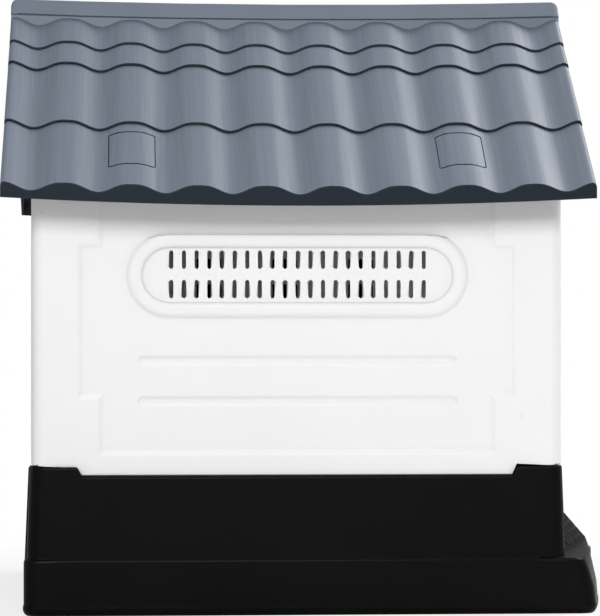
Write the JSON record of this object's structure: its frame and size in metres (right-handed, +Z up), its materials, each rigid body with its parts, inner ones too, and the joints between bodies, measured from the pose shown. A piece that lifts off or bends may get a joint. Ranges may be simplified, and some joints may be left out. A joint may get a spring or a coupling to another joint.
{
  "type": "dog house",
  "caption": "Plastic dog house with a tiled pitched roof that lifts off after its flap locks are opened, white walls with vents, and a black base with a front step.",
  "frame": {"origin": "on the floor, under the centre of the whole footprint with the front step", "axes": "+Z up, the entrance faces -Y, +X to the right of someone facing the entrance"},
  "size_m": [0.666, 0.7132, 0.7268],
  "materials": {
    "base_plastic": "fine-grained black moulding",
    "wall_plastic": "satin white moulding",
    "roof_plastic": "slate grey moulding with a fine grain down the tiles"
  },
  "bodies": {
    "house": {"base_tray": "base_plastic", "left_wall": "wall_plastic", "right_wall": "wall_plastic", "front_wall": "wall_plastic", "rear_wall": "wall_plastic"},
    "roof": {"left_roof_panel": "roof_plastic", "right_roof_panel": "roof_plastic", "ridge_cap": "roof_plastic"},
    "left_front_flap": {"left_front_lock": "roof_plastic"},
    "right_front_flap": {"right_front_lock": "roof_plastic"},
    "left_rear_flap": {"left_rear_lock": "roof_plastic"},
    "right_rear_flap": {"right_rear_lock": "roof_plastic"}
  },
  "joints": [
    {"name": "roof_lift", "type": "slide", "parent": "house", "child": "roof", "axis": [0, 0, 1], "range_m": [0, 0.3]},
    {"name": "left_front_lock_hinge", "type": "hinge", "parent": "roof", "child": "left_front_flap", "pos_m": [-0.23247, -0.1681, 0.54227], "axis": [0, 1, 0], "range_deg": [0, 35]},
    {"name": "left_rear_lock_hinge", "type": "hinge", "parent": "roof", "child": "left_rear_flap", "pos_m": [-0.23247, 0.2094, 0.54227], "axis": [0, 1, 0], "range_deg": [0, 35]},
    {"name": "right_front_lock_hinge", "type": "hinge", "parent": "roof", "child": "right_front_flap", "pos_m": [0.23247, -0.1681, 0.54227], "axis": [0, -1, 0], "range_deg": [0, 35]},
    {"name": "right_rear_lock_hinge", "type": "hinge", "parent": "roof", "child": "right_rear_flap", "pos_m": [0.23247, 0.2094, 0.54227], "axis": [0, -1, 0], "range_deg": [0, 35]}
  ]
}
